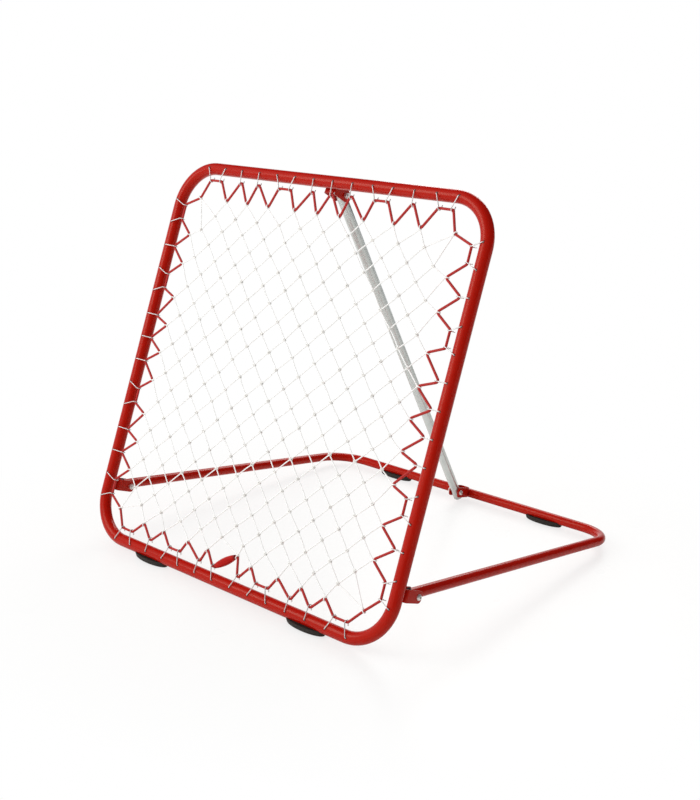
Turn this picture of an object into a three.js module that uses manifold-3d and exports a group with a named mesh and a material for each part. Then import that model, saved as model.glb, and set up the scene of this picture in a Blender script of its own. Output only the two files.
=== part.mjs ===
// A folding rebound goal: a tilted square frame of bent tube with a knotted net held in it by an
// elastic cord and wire hooks, a bent base behind it, and a strut from the top of the frame to the base.
// Millimetres, Z up, the net side facing -Y. The origin is on the floor, in the middle of the footprint.

import * as THREE from 'three';
import { mergeVertices } from 'three/addons/utils/BufferGeometryUtils.js';
import Module from 'manifold-3d';

const wasm = await Module();
wasm.setup();

// Gaps between pieces
const seatGap = 0.3;
const cutOverrun = 2;

// Front frame: one tube bent to a square with round corners
const frameOuter = 1000;
const frameTubeDiameter = 30;
const frameTubeWall = 1.5;
const frameBendRadius = 105;
const frameTilt = THREE.MathUtils.degToRad(70.8);

// Base: one thinner tube bent to a U, hinged to the frame at both ends
const baseTubeDiameter = 25;
const baseTubeWall = 1.5;
const armInset = 1.5;
const baseReach = 858;
const baseBendRadius = 95;
const hingeHeight = 124.5;
const armLift = 4;
const armTail = 14;

// Strut: one straight tube
const strutDiameter = 25;
const strutWall = 1.5;
const strutTopTail = 14;
const strutFootTail = 22;

// The four U brackets, all bent from the same plate
const bracketPlate = 3;
const bracketHeight = 29;
const bracketLength = 55;
const bracketBendRadius = 6;
const bracketChamfer = 9;
const boltReach = 43;
const bracketBendSteps = 3;
const topBracketDroop = THREE.MathUtils.degToRad(9);
const topBracketSlide = 7;
const rearBracketRise = THREE.MathUtils.degToRad(12);
const rearBracketSlide = 3.5;

// Bolts and nuts
const boltDiameter = 8;
const boltHeadDiameter = 14;
const boltHeadHeight = 5;
const boltTail = 2;
const nutAcross = 13;
const nutHeight = 6.5;

// Rubber feet, an oval pad with a saddle for the tube
const footLength = 120;
const footWidth = 46;
const footHeight = 15;
const footFloor = 8;
const footEdge = 3;
const footFromBend = 63.5;

// Plastic caps in the two ends of the base tube
const capHead = 4;
const capPlug = 8;
const capPlugWall = 2;
const capCrest = 4.5;

// Wire hooks
const hooksPerSide = 14;
const hookRunOver = 13.9;
const hookWire = 2.5;
const hookHole = 3.4;
const hookRoot = 6;
const hookLean = 12.5;
const hookEmbed = 0.8;
const hookPlay = 1;
const cordInset = 30;

// Elastic cord, laced between the hooks and the loops of the net
const cordDiameter = 6;
const cordHeight = 8;
const cordBendRun = 6;
const loopInset = { bottom: 60, right: 73, top: 78, left: 70 };
const cornerInset = { bottomRight: 67, topRight: 81, topLeft: 79, bottomLeft: 75 };
const loopSpread = 0.635;
const loopDraw = 0.6;
const sleevePull = 12;
const sleeveShift = 26;
const sleeveInset = 72;
const sleeveLength = 70;
const sleeveDiameter = 20;
const sleeveMouthWall = 1.6;
const cordEndGap = 1;

// The hook gaps, counted along each side, that the cord crosses without reaching for the net
const straightRuns = { bottom: [1, 4, 9, 13], right: [1, 4, 10, 13], top: [1, 5, 10, 13], left: [1, 5, 10, 13] };
const sleeveIndex = 7;

// Net: diamonds of twine, with a loop of twine round the cord at each point of its edge and at its corners
const loopsPerSide = 9;
const twine = 2.4;

// How far the frame folds onto the base
const foldAngle = THREE.MathUtils.degToRad(75);

// Facets of round pieces
const tubeSides = 16;
const boreSides = 10;
const bendSteps = 6;
const sleeveSteps = 6;
const cordSides = 6;
const wireSides = 4;
const boltSides = 12;
const holeSides = 6;
const loopSides = 4;
const footSteps = 6;
const hookTurn = THREE.MathUtils.degToRad(60);

// Sizes that follow from the ones above
const frameRadius = frameTubeDiameter / 2;
const frameSpan = frameOuter - frameTubeDiameter;
const hookPitch = (frameSpan - 2 * frameBendRadius + 2 * hookRunOver) / (hooksPerSide - 1);
const baseWidth = frameSpan - 2 * armInset;
const footSpread = baseWidth / 2 - baseBendRadius - footFromBend - footLength / 2;
const baseRadius = baseTubeDiameter / 2;
const strutRadius = strutDiameter / 2;
const boltRadius = boltDiameter / 2;
const cordRadius = cordDiameter / 2;
const wireRadius = hookWire / 2;
const bracketGap = Math.max(baseTubeDiameter, strutDiameter) + 4 * seatGap;
const bracketWidth = bracketGap + 2 * bracketPlate;
const hingePivot = frameRadius + seatGap + boltReach;
const frameAxisHeight = footFloor + seatGap + frameRadius;
const crossbarHeight = footFloor + seatGap + baseRadius;

const red = [0.62, 0.03, 0.03];
const zinc = [0.72, 0.73, 0.74];
const black = [0.03, 0.03, 0.03];

function paint(color, roughness, metalness) {
  return new THREE.MeshStandardMaterial({ color: new THREE.Color(...color), roughness, metalness });
}

// Radius of the polygon whose flats lie at the given distance from its middle
function flatsAt(distance, sides) {
  return distance / Math.cos(Math.PI / sides);
}

function circlePoints(radius, sides) {
  const points = [];
  for (let i = 0; i < sides; i += 1) {
    const angle = ((i + 0.5) / sides) * 2 * Math.PI;
    points.push(new THREE.Vector2(radius * Math.cos(angle), radius * Math.sin(angle)));
  }
  return points;
}

// A route through fixed points, with a section square to the bend at each of them
class Route extends THREE.Curve {
  constructor(points) {
    super();
    this.points = points;
    this.closed = points[0].distanceTo(points.at(-1)) < seatGap / 10;
  }

  getPoint(t) {
    const last = this.points.length - 1;
    const place = Math.min(t * last, last);
    const index = Math.min(Math.floor(place), last - 1);
    return this.points[index].clone().lerp(this.points[index + 1], place - index);
  }

  getPointAt(t) {
    return this.getPoint(t);
  }

  getTangentAt(t) {
    const last = this.points.length - 1;
    const index = Math.round(t * last);
    const here = this.points[index];
    const before = index > 0 ? this.points[index - 1] : this.closed && this.points[last - 1];
    const after = index < last ? this.points[index + 1] : this.closed && this.points[1];
    const tangent = new THREE.Vector3();
    if (before) tangent.add(here.clone().sub(before).normalize());
    if (after) tangent.add(after.clone().sub(here).normalize());
    return tangent.normalize();
  }
}

function tubeAlong(points, radius, sides) {
  const section = new THREE.Shape(circlePoints(radius, sides));
  return new THREE.ExtrudeGeometry(section, { steps: points.length - 1, extrudePath: new Route(points) });
}

// A tube whose route ends where it starts has no end faces, so only its walls are kept
function ringAlong(points, radius, sides) {
  const tube = tubeAlong(points, radius, sides);
  const walls = tube.groups[1];
  const kept = tube.attributes.position.array.slice(walls.start * 3, (walls.start + walls.count) * 3);
  const ring = new THREE.BufferGeometry();
  ring.setAttribute('position', new THREE.BufferAttribute(kept, 3));
  return ring;
}

function solidOf(geometry) {
  const bare = geometry.clone();
  bare.deleteAttribute('normal');
  bare.deleteAttribute('uv');
  const merged = mergeVertices(bare, seatGap / 1000);
  const vertProperties = new Float32Array(merged.attributes.position.array);
  const triVerts = new Uint32Array(merged.index.array);
  return new wasm.Manifold(new wasm.Mesh({ numProp: 3, vertProperties, triVerts }));
}

function geometryOf(solid) {
  const mesh = solid.getMesh();
  const geometry = new THREE.BufferGeometry();
  geometry.setAttribute('position', new THREE.BufferAttribute(mesh.vertProperties, 3));
  geometry.setIndex(new THREE.BufferAttribute(mesh.triVerts, 1));
  geometry.computeVertexNormals();
  return geometry;
}

function extrude(shape, depth) {
  return new THREE.ExtrudeGeometry(shape, { depth, bevelEnabled: false, curveSegments: bracketBendSteps });
}

// A round cutter along X, centred on the origin, whose flats lie at the radius
function crossDrill(radius, length, sides) {
  const drill = extrude(new THREE.Shape(circlePoints(flatsAt(radius, sides), sides)), length);
  return drill.translate(0, 0, -length / 2).rotateY(Math.PI / 2);
}

function named(name, geometry, material) {
  const mesh = new THREE.Mesh(geometry, material);
  mesh.name = name;
  return mesh;
}

// Points of a quarter bend in the XY plane, from one angle to the next
function bend(centreX, centreY, radius, fromAngle, turn) {
  const points = [];
  for (let i = 0; i <= bendSteps; i += 1) {
    const angle = fromAngle + (turn * i) / bendSteps;
    points.push(new THREE.Vector3(centreX + radius * Math.cos(angle), centreY + radius * Math.sin(angle), 0));
  }
  return points;
}

// The groups that the pieces stand in. The frame's X, Y and Z run across it, up its slope and out of its front.
const model = new THREE.Group();
const frame = new THREE.Group();
frame.position.z = frameAxisHeight;
frame.rotation.x = frameTilt;
frame.updateMatrix();

// The base's group has its origin on the hinge axis and its Y along the arms
const hinge = new THREE.Vector3(0, hingeHeight, -hingePivot).applyMatrix4(frame.matrix);
const baseSlope = Math.asin((hinge.z - crossbarHeight) / Math.hypot(baseReach, armLift)) + Math.atan2(armLift, baseReach);
const base = new THREE.Group();
base.position.copy(hinge);
base.rotation.x = -baseSlope;
base.updateMatrix();

// A bracket's bolt, in the group of the tube that the bracket is welded to
function boltPlace(tubePlace, tubeRadius, turn, slide) {
  const offset = new THREE.Vector3(0, slide, -(tubeRadius + seatGap + boltReach));
  offset.applyAxisAngle(new THREE.Vector3(1, 0, 0), turn);
  return offset.add(tubePlace);
}

// The strut's group has its origin on its top bolt and its Y down the strut
const topTube = new THREE.Vector3(0, frameSpan, 0);
const topTurn = -topBracketDroop;
const rearTube = new THREE.Vector3(0, baseReach, armLift);
const rearTurn = baseSlope - rearBracketRise - Math.PI / 2;
const strutTop = boltPlace(topTube, frameRadius, topTurn, -topBracketSlide).applyMatrix4(frame.matrix);
const strutFoot = boltPlace(rearTube, baseRadius, rearTurn, -rearBracketSlide).applyMatrix4(base.matrix);
const strutLine = strutFoot.clone().sub(strutTop);
const strutLength = strutLine.length();
const strut = new THREE.Group();
strut.position.copy(strutTop);
strut.rotation.x = Math.atan2(strutLine.z, strutLine.y);
strut.updateMatrix();

// Angle between the strut and the frame when the goal stands, all of which closes as it folds
const frameSlope = new THREE.Vector3(0, Math.cos(frameTilt), Math.sin(frameTilt));
const strutOpening = Math.PI - frameSlope.angleTo(strutLine);

// Sides of the frame: where each starts, the way it runs and the way to the middle of the net
const half = frameSpan / 2;
const sides = {
  bottom: { start: [0, 0], along: [1, 0], inward: [0, 1] },
  right: { start: [half, half], along: [0, 1], inward: [-1, 0] },
  top: { start: [0, frameSpan], along: [1, 0], inward: [0, -1] },
  left: { start: [-half, half], along: [0, 1], inward: [1, 0] },
};

function onSide(side, along, inward, height) {
  const { start, along: run, inward: way } = sides[side];
  const x = start[0] + run[0] * along + way[0] * inward;
  const y = start[1] + run[1] * along + way[1] * inward;
  return new THREE.Vector3(x, y, height);
}

function hookPlace(index) {
  return (index - (hooksPerSide - 1) / 2) * hookPitch;
}

// A straight run of cord draws the two hooks at its ends towards each other, and the sleeve spreads its two
function hookPull(side, index) {
  const runs = straightRuns[side];
  const spread = side === 'bottom' ? (index === sleeveIndex) - (index + 1 === sleeveIndex) : 0;
  return hookLean * (runs.includes(index + 1) - runs.includes(index)) + sleevePull * spread;
}

function cordPlace(side, index) {
  return hookPlace(index) + hookPull(side, index);
}

function loopGaps(side) {
  const gaps = [];
  for (let gap = 1; gap < hooksPerSide; gap += 1) {
    if (!straightRuns[side].includes(gap)) gaps.push(gap);
  }
  return gaps;
}

// A loop of the net is drawn from the middle between its two hooks towards its even place along the net's edge,
// and the sleeve holds its own loop aside
function loopPlace(side, gap) {
  const middle = (cordPlace(side, gap - 1) + cordPlace(side, gap)) / 2;
  const share = loopGaps(side).indexOf(gap) / (loopsPerSide - 1);
  const even = loopSpread * half * (2 * share - 1);
  const drawn = middle + loopDraw * (even - middle);
  return side === 'bottom' && gap === sleeveIndex ? drawn + sleeveShift : drawn;
}

function loopDepth(side, gap) {
  return side === 'bottom' && gap === sleeveIndex ? sleeveInset : loopInset[side];
}

// Hook: up through its hole from inside the tube, over the tube, and round the cord
const crookRadius = (cordRadius + hookPlay + wireRadius) / Math.cos(hookTurn / 2);

function hookGeometry(side, index, root) {
  const place = hookPlace(index);
  const pull = hookPull(side, index);
  const over = frameRadius + wireRadius + 3 * seatGap;
  const points = [
    onSide(side, place, 0, root),
    onSide(side, place, 0, over),
    onSide(side, place + pull / 3, frameRadius * 0.6, over * 0.92),
  ];
  for (let turn = -hookTurn / 3; turn < 4 * hookTurn; turn += hookTurn) {
    const inward = cordInset + crookRadius * Math.sin(turn);
    const height = cordHeight + crookRadius * Math.cos(turn);
    points.push(onSide(side, place + pull, inward, height));
  }
  return tubeAlong(points, wireRadius, wireSides);
}

// Front frame: drilled for the hooks of its left and right sides, with those of its top and bottom joined to it
function frameLoop() {
  const straight = half - frameBendRadius;
  const low = frameBendRadius;
  const high = frameSpan - frameBendRadius;
  const quarter = Math.PI / 2;
  return [
    new THREE.Vector3(0, 0, 0),
    ...bend(straight, low, frameBendRadius, -quarter, quarter),
    ...bend(straight, high, frameBendRadius, 0, quarter),
    ...bend(-straight, high, frameBendRadius, quarter, quarter),
    ...bend(-straight, low, frameBendRadius, 2 * quarter, quarter),
    new THREE.Vector3(0, 0, 0),
  ];
}

function frontFrameGeometry() {
  const loop = frameLoop();
  let solid = solidOf(ringAlong(loop, frameRadius, tubeSides));
  solid = solid.subtract(solidOf(ringAlong(loop, frameRadius - frameTubeWall, boreSides)));
  for (const side of ['left', 'right']) {
    for (let i = 0; i < hooksPerSide; i += 1) {
      const radius = flatsAt(hookHole / 2, holeSides);
      const drill = extrude(new THREE.Shape(circlePoints(radius, holeSides)), frameRadius);
      const place = onSide(side, hookPlace(i), 0, frameRadius - frameTubeWall - cutOverrun);
      solid = solid.subtract(solidOf(drill.translate(place.x, place.y, place.z)));
    }
  }
  for (const side of ['bottom', 'top']) {
    for (let i = 0; i < hooksPerSide; i += 1) {
      solid = solid.add(solidOf(hookGeometry(side, i, frameRadius - hookEmbed)));
    }
  }
  return geometryOf(solid);
}

// Bracket: a U bent from plate, its web against a tube and its ears out along -Z, drilled for a bolt along X
function bracketGeometry() {
  const outer = bracketWidth / 2;
  const inner = bracketGap / 2;
  const round = bracketBendRadius;
  const section = new THREE.Shape();
  section.moveTo(-outer, -bracketLength);
  section.lineTo(-inner, -bracketLength);
  section.lineTo(-inner, -bracketPlate);
  section.lineTo(inner, -bracketPlate);
  section.lineTo(inner, -bracketLength);
  section.lineTo(outer, -bracketLength);
  section.lineTo(outer, -round);
  section.absarc(outer - round, -round, round, 0, Math.PI / 2, false);
  section.lineTo(-outer + round, 0);
  section.absarc(-outer + round, -round, round, Math.PI / 2, Math.PI, false);
  const channel = solidOf(extrude(section, bracketHeight).rotateX(Math.PI / 2).translate(0, bracketHeight / 2, 0));

  const top = bracketHeight / 2;
  const end = bracketLength;
  const profile = new THREE.Shape();
  profile.moveTo(cutOverrun, -top);
  profile.lineTo(cutOverrun, top);
  profile.lineTo(-end + bracketChamfer, top);
  profile.lineTo(-end, top - bracketChamfer);
  profile.lineTo(-end, -top + bracketChamfer);
  profile.lineTo(-end + bracketChamfer, -top);
  const reach = bracketWidth + 2 * cutOverrun;
  const outline = solidOf(extrude(profile, reach).translate(0, 0, -reach / 2).rotateY(-Math.PI / 2));
  const hole = solidOf(crossDrill(boltRadius + seatGap, reach, boltSides).translate(0, 0, -boltReach));
  return geometryOf(channel.intersect(outline).subtract(hole));
}

// Bolt along X: a domed head outside one ear, a shank through both
function boltGeometry() {
  const headRadius = boltHeadDiameter / 2;
  const seat = bracketWidth / 2 + seatGap;
  const tip = -(seat + nutHeight + seatGap + boltTail);
  const profile = [
    new THREE.Vector2(0, tip),
    new THREE.Vector2(boltRadius, tip),
    new THREE.Vector2(boltRadius, seat),
    new THREE.Vector2(headRadius, seat),
    new THREE.Vector2(headRadius * 0.93, seat + boltHeadHeight * 0.5),
    new THREE.Vector2(headRadius * 0.6, seat + boltHeadHeight * 0.9),
    new THREE.Vector2(0, seat + boltHeadHeight),
  ];
  return new THREE.LatheGeometry(profile, boltSides).rotateZ(-Math.PI / 2);
}

// Nut along X, on the far end of the bolt
function nutGeometry() {
  const outline = new THREE.Shape(circlePoints(flatsAt(nutAcross / 2, holeSides), holeSides));
  outline.holes.push(new THREE.Path(circlePoints(flatsAt(boltRadius + seatGap, boltSides), boltSides)));
  const start = -(bracketWidth / 2 + seatGap + nutHeight);
  return extrude(outline, nutHeight).rotateY(Math.PI / 2).translate(start, 0, 0);
}

// Adds a bracket with its bolt and nut to a tube. The turn is about X, from ears that point along -Z.
function addBracket(group, name, tubePlace, tubeRadius, turn, slide, nutOnRight) {
  const bracket = named(`${name}_bracket`, bracketGeometry(), paint(red, 0.35, 0));
  bracket.position.set(0, slide, -(tubeRadius + seatGap));
  const pivot = new THREE.Group();
  pivot.position.set(0, slide, -(tubeRadius + seatGap + boltReach));
  pivot.rotation.z = nutOnRight ? Math.PI : 0;
  pivot.add(named(`${name}_bolt`, boltGeometry(), paint(zinc, 0.3, 1)));
  pivot.add(named(`${name}_nut`, nutGeometry(), paint(zinc, 0.35, 1)));
  const mount = new THREE.Group();
  mount.position.copy(tubePlace);
  mount.rotation.x = turn;
  mount.add(bracket, pivot);
  group.add(mount);
}

// Foot: an oval pad, hollowed on top to take a tube along X whose axis lies above the origin
function footGeometry(tubeRadius) {
  const oval = new THREE.Shape();
  oval.absellipse(0, 0, footLength / 2 - footEdge, footWidth / 2 - footEdge, 0, 2 * Math.PI, false);
  const pad = new THREE.ExtrudeGeometry(oval, {
    depth: footHeight - 2 * footEdge,
    bevelThickness: footEdge,
    bevelSize: footEdge,
    bevelSegments: 1,
    curveSegments: footSteps,
  });
  pad.translate(0, 0, footEdge);
  const saddle = crossDrill(tubeRadius + seatGap, footLength + 2 * cutOverrun, tubeSides);
  saddle.translate(0, 0, footFloor + seatGap + tubeRadius);
  return geometryOf(solidOf(pad).subtract(solidOf(saddle)));
}

// Base tube, with its arms in front of the crossbar and a hole through each arm for the hinge bolt
function baseLoop(extra) {
  const arm = baseWidth / 2;
  const corner = baseReach - baseBendRadius;
  const quarter = Math.PI / 2;
  return [
    new THREE.Vector3(arm, -armTail - extra, 0),
    ...bend(arm - baseBendRadius, corner, baseBendRadius, 0, quarter),
    ...bend(baseBendRadius - arm, corner, baseBendRadius, quarter, quarter),
    new THREE.Vector3(-arm, -armTail - extra, 0),
  ];
}

function baseGeometry() {
  let solid = solidOf(tubeAlong(baseLoop(0), baseRadius, tubeSides));
  solid = solid.subtract(solidOf(tubeAlong(baseLoop(cutOverrun), baseRadius - baseTubeWall, boreSides)));
  for (const way of [-1, 1]) {
    const hole = crossDrill(boltRadius + seatGap, baseTubeDiameter + 2 * cutOverrun, boltSides);
    solid = solid.subtract(solidOf(hole.translate((way * baseWidth) / 2, 0, -armLift)));
  }
  return geometryOf(solid);
}

// Cap: a head over the end of an arm, with a crest above it, and a hollow plug inside
function capGeometry() {
  const radius = baseRadius;
  const head = new THREE.Shape();
  head.absarc(0, 0, radius, Math.PI, 2 * Math.PI, false);
  head.lineTo(radius, radius / 2);
  head.lineTo(radius / 2, radius + capCrest);
  head.lineTo(-radius / 2, radius + capCrest);
  head.lineTo(-radius, radius / 2);
  const plugRadius = (radius - baseTubeWall) * Math.cos(Math.PI / boreSides) - seatGap;
  const plug = new THREE.Shape(circlePoints(plugRadius, boreSides));
  plug.holes.push(new THREE.Path(circlePoints(plugRadius - capPlugWall, boreSides)));
  const joint = capPlugWall / 2;
  const headSolid = solidOf(extrude(head, capHead));
  const plugSolid = solidOf(extrude(plug, capPlug + joint).translate(0, 0, -capPlug));
  return geometryOf(headSolid.add(plugSolid)).rotateX(Math.PI / 2).rotateY(Math.PI);
}

// Strut tube: a hole for the top bolt, and at its foot a slot that lets it lift off the lower bolt as it folds
function slotDirection() {
  const fromHinge = strutFoot.clone().sub(hinge);
  const ratio = strutOpening / foldAngle;
  const travel = new THREE.Vector3(0, -fromHinge.z - ratio * strutLine.z, fromHinge.y + ratio * strutLine.y);
  travel.applyQuaternion(strut.quaternion.clone().invert());
  return Math.atan2(travel.z, travel.y);
}

function strutGeometry() {
  const start = -strutTopTail;
  const length = strutTopTail + strutLength + strutFootTail;
  const line = (extra) => [
    new THREE.Vector3(0, start - extra, 0),
    new THREE.Vector3(0, start + length + extra, 0),
  ];
  const holeRadius = boltRadius + seatGap;
  const reach = strutDiameter + 2 * cutOverrun;
  let solid = solidOf(tubeAlong(line(0), strutRadius, tubeSides));
  solid = solid.subtract(solidOf(tubeAlong(line(cutOverrun), strutRadius - strutWall, boreSides)));
  solid = solid.subtract(solidOf(crossDrill(holeRadius, reach, boltSides)));
  const slot = new THREE.Shape();
  slot.absarc(0, 0, flatsAt(holeRadius, boltSides), Math.PI / 2, 1.5 * Math.PI, false);
  slot.lineTo(strutDiameter, -holeRadius);
  slot.lineTo(strutDiameter, holeRadius);
  const cutter = extrude(slot, reach).translate(0, 0, -reach / 2);
  const across = new THREE.Matrix4().makeBasis(
    new THREE.Vector3(0, 1, 0),
    new THREE.Vector3(0, 0, 1),
    new THREE.Vector3(1, 0, 0),
  );
  cutter.applyMatrix4(across).rotateX(slotDirection()).translate(0, strutLength, 0);
  return geometryOf(solid.subtract(solidOf(cutter)));
}

// The place at an equal depth from both sides of a corner
const cornerWays = { bottomRight: [1, -1], topRight: [1, 1], topLeft: [-1, 1], bottomLeft: [-1, -1] };

function cornerPlace(corner, depth) {
  const [right, up] = cornerWays[corner];
  return new THREE.Vector3(right * (half - depth), half + up * (half - depth), cordHeight);
}

// Stations of the cord round the frame: each hook and each loop of the net, and the way the cord runs there
function cordStations() {
  const stations = [];
  const tour = [
    ['bottom', 1, 'bottomRight'],
    ['right', 1, 'topRight'],
    ['top', -1, 'topLeft'],
    ['left', -1, 'bottomLeft'],
  ];
  for (const [side, way, corner] of tour) {
    for (let count = 0; count < hooksPerSide; count += 1) {
      const index = way > 0 ? count : hooksPerSide - 1 - count;
      const gap = way > 0 ? index + 1 : index;
      const hook = { place: onSide(side, cordPlace(side, index), cordInset, cordHeight), kind: 'hook' };
      hook.straightBefore = straightRuns[side].includes(gap - way);
      hook.straightAfter = straightRuns[side].includes(gap);
      stations.push(hook);
      if (count === hooksPerSide - 1 || straightRuns[side].includes(gap)) continue;
      const kind = side === 'bottom' && gap === sleeveIndex ? 'sleeve' : 'loop';
      stations.push({ place: onSide(side, loopPlace(side, gap), loopDepth(side, gap), cordHeight), kind });
    }
    stations.push({ place: cornerPlace(corner, cornerInset[corner]), kind: 'loop' });
  }
  stations.forEach((station, i) => {
    const arrive = station.place.clone().sub(stations.at(i - 1).place).normalize();
    const leave = stations[(i + 1) % stations.length].place.clone().sub(station.place).normalize();
    station.run = arrive.add(leave).normalize();
  });
  return stations;
}

// The cord starts in the sleeve, goes once round the frame and ends in the sleeve again
function cordRoute() {
  const stations = cordStations();
  const first = stations.findIndex((station) => station.kind === 'sleeve');
  const order = [...stations.slice(first), ...stations.slice(0, first)];
  const points = [];
  for (const { place, run, straightBefore, straightAfter } of order) {
    const step = run.clone().multiplyScalar(cordBendRun / 2);
    if (!straightBefore) points.push(place.clone().sub(step));
    if (!straightAfter) points.push(place.clone().add(step));
  }
  const join = points.at(-1).clone().lerp(points[0], 0.5);
  const along = points[0].clone().sub(points.at(-1)).normalize();
  points.unshift(join.clone().addScaledVector(along, cordEndGap / 2));
  points.push(join.clone().addScaledVector(along, -cordEndGap / 2));
  return { points, join, along };
}

// Sleeve: a spindle round the two ends of the cord
function sleeveGeometry() {
  const bore = flatsAt(cordRadius + seatGap, boltSides);
  const mouth = bore + sleeveMouthWall;
  const reach = sleeveLength / 2;
  const profile = [new THREE.Vector2(bore, -reach), new THREE.Vector2(mouth, -reach)];
  const swell = sleeveDiameter / 2 - mouth;
  for (let i = 1; i < sleeveSteps; i += 1) {
    const share = i / sleeveSteps;
    const radius = mouth + swell * Math.sin(Math.PI * share);
    profile.push(new THREE.Vector2(radius, -reach + sleeveLength * share));
  }
  profile.push(new THREE.Vector2(mouth, reach), new THREE.Vector2(bore, reach), new THREE.Vector2(bore, -reach));
  return new THREE.LatheGeometry(profile, boltSides);
}

// Net: flat diamonds between knots, with the edge knots drawn to the loops round the cord
const loopInner = flatsAt(cordRadius + seatGap, loopSides);
const loopOuter = loopInner + twine;
const edgeKnot = cordRadius + seatGap + (twine / 2) * Math.SQRT2;
const cornerKnot = cordRadius + seatGap + (twine / 2) * Math.sqrt(10);
const netEdge = (loopsPerSide + 1) / 2;
const netRim = netEdge + 0.5;
const netAcross = frameSpan - loopInset.left - loopInset.right - 2 * edgeKnot;
const netUp = frameSpan - loopInset.bottom - loopInset.top - 2 * edgeKnot;
const netMiddleX = (loopInset.left - loopInset.right) / 2;
const netMiddleY = half + (loopInset.bottom - loopInset.top) / 2;

// Knots are counted from the middle of the net, whole or half way along both directions
function netKnot(column, row) {
  let knot = new THREE.Vector3(column * netAcross, row * netUp, 0).divideScalar(2 * netRim);
  knot.add(new THREE.Vector3(netMiddleX, netMiddleY, 0));
  if (Math.abs(column) + Math.abs(row) === netEdge + netRim) {
    const corner = `${row > 0 ? 'top' : 'bottom'}${column > 0 ? 'Right' : 'Left'}`;
    knot = cornerPlace(corner, cornerInset[corner] + cornerKnot * Math.SQRT1_2);
  } else if (Math.abs(row) === netRim || Math.abs(column) === netRim) {
    const level = Math.abs(row) === netRim;
    const [low, high] = level ? ['bottom', 'top'] : ['left', 'right'];
    const side = (level ? row : column) > 0 ? high : low;
    const gap = loopGaps(side)[(level ? column : row) + netEdge - 1];
    knot = onSide(side, loopPlace(side, gap), loopDepth(side, gap) + edgeKnot, 0);
  }
  return new THREE.Vector2(knot.x, knot.y);
}

// Moves each edge of a closed outline to its left by a distance
function offsetOutline(points, distance) {
  return points.map((here, i) => {
    const before = points.at(i - 1);
    const after = points[(i + 1) % points.length];
    const arrive = here.clone().sub(before).normalize();
    const leave = after.clone().sub(here).normalize();
    const arriveNormal = new THREE.Vector2(-arrive.y, arrive.x);
    const leaveNormal = new THREE.Vector2(-leave.y, leave.x);
    const bisector = arriveNormal.clone().add(leaveNormal).normalize();
    return here.clone().addScaledVector(bisector, distance / bisector.dot(arriveNormal));
  });
}

// The diamond round a place in the net, which at a corner of the net is a triangle
function diamondHole(column, row) {
  const knots = [
    netKnot(column - 0.5, row),
    netKnot(column, row - 0.5),
    netKnot(column + 0.5, row),
    netKnot(column, row + 0.5),
  ];
  const outline = knots.filter((knot, i) => knot.distanceTo(knots.at(i - 1)) > twine);
  return new THREE.Path(offsetOutline(outline, twine / 2));
}

function netHoles() {
  const holes = [];
  for (let i = -netEdge; i <= netEdge; i += 1) {
    for (let j = -netEdge; j <= netEdge; j += 1) {
      holes.push(diamondHole(i, j));
      if (i < netEdge && j < netEdge) holes.push(diamondHole(i + 0.5, j + 0.5));
    }
  }
  return holes;
}

function netOutline() {
  const points = [];
  const ways = [
    (step, rise) => netKnot(step, -rise),
    (step, rise) => netKnot(rise, step),
    (step, rise) => netKnot(-step, rise),
    (step, rise) => netKnot(-rise, -step),
  ];
  for (const knot of ways) {
    for (let i = -netEdge; i < netEdge; i += 1) {
      points.push(knot(i, netRim), knot(i + 0.5, netEdge));
    }
  }
  return offsetOutline(points, -twine / 2);
}

// Loop of twine round the cord, in the plane square to the cord
function loopGeometry(place, run) {
  const ring = new THREE.Shape(circlePoints(loopOuter, loopSides));
  ring.holes.push(new THREE.Path(circlePoints(loopInner, loopSides)));
  const geometry = extrude(ring, twine).translate(0, 0, -twine / 2);
  const up = new THREE.Vector3(0, 0, 1);
  const basis = new THREE.Matrix4().makeBasis(up.clone().cross(run), up, run).setPosition(place);
  return geometry.applyMatrix4(basis);
}

function netGeometry() {
  const shape = new THREE.Shape(netOutline());
  shape.holes = netHoles();
  let solid = solidOf(extrude(shape, twine).translate(0, 0, cordHeight - twine / 2));
  for (const { place, run, kind } of cordStations()) {
    if (kind !== 'hook') solid = solid.add(solidOf(loopGeometry(place, run)));
  }
  return geometryOf(solid);
}

// Frame group: tube, brackets, feet, hooks, cord, sleeve and net
frame.add(named('front_frame', frontFrameGeometry(), paint(red, 0.35, 0)));
for (const [name, way] of [['left', -1], ['right', 1]]) {
  const tubePlace = new THREE.Vector3((way * baseWidth) / 2, hingeHeight, 0);
  addBracket(frame, `${name}_hinge`, tubePlace, frameRadius, 0, 0, way < 0);
  const foot = named(`front_${name}_foot`, footGeometry(frameRadius), paint(black, 0.8, 0));
  foot.position.x = way * footSpread;
  model.add(foot);
  for (let i = 0; i < hooksPerSide; i += 1) {
    const hook = hookGeometry(name, i, frameRadius - hookRoot);
    frame.add(named(`${name}_hook_${i + 1}`, hook, paint(zinc, 0.3, 1)));
  }
}
addBracket(frame, 'top', topTube, frameRadius, topTurn, -topBracketSlide, true);
const { points: cordPoints, join: cordJoin, along: cordAlong } = cordRoute();
frame.add(named('elastic_cord', tubeAlong(cordPoints, cordRadius, cordSides), paint([0.6, 0.05, 0.05], 0.7, 0)));
const sleeve = named('cord_sleeve', sleeveGeometry(), paint([0.55, 0.03, 0.05], 0.6, 0));
sleeve.position.copy(cordJoin);
sleeve.quaternion.setFromUnitVectors(new THREE.Vector3(0, 1, 0), cordAlong);
frame.add(sleeve);
frame.add(named('net', netGeometry(), paint([0.85, 0.85, 0.82], 0.8, 0)));

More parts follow.
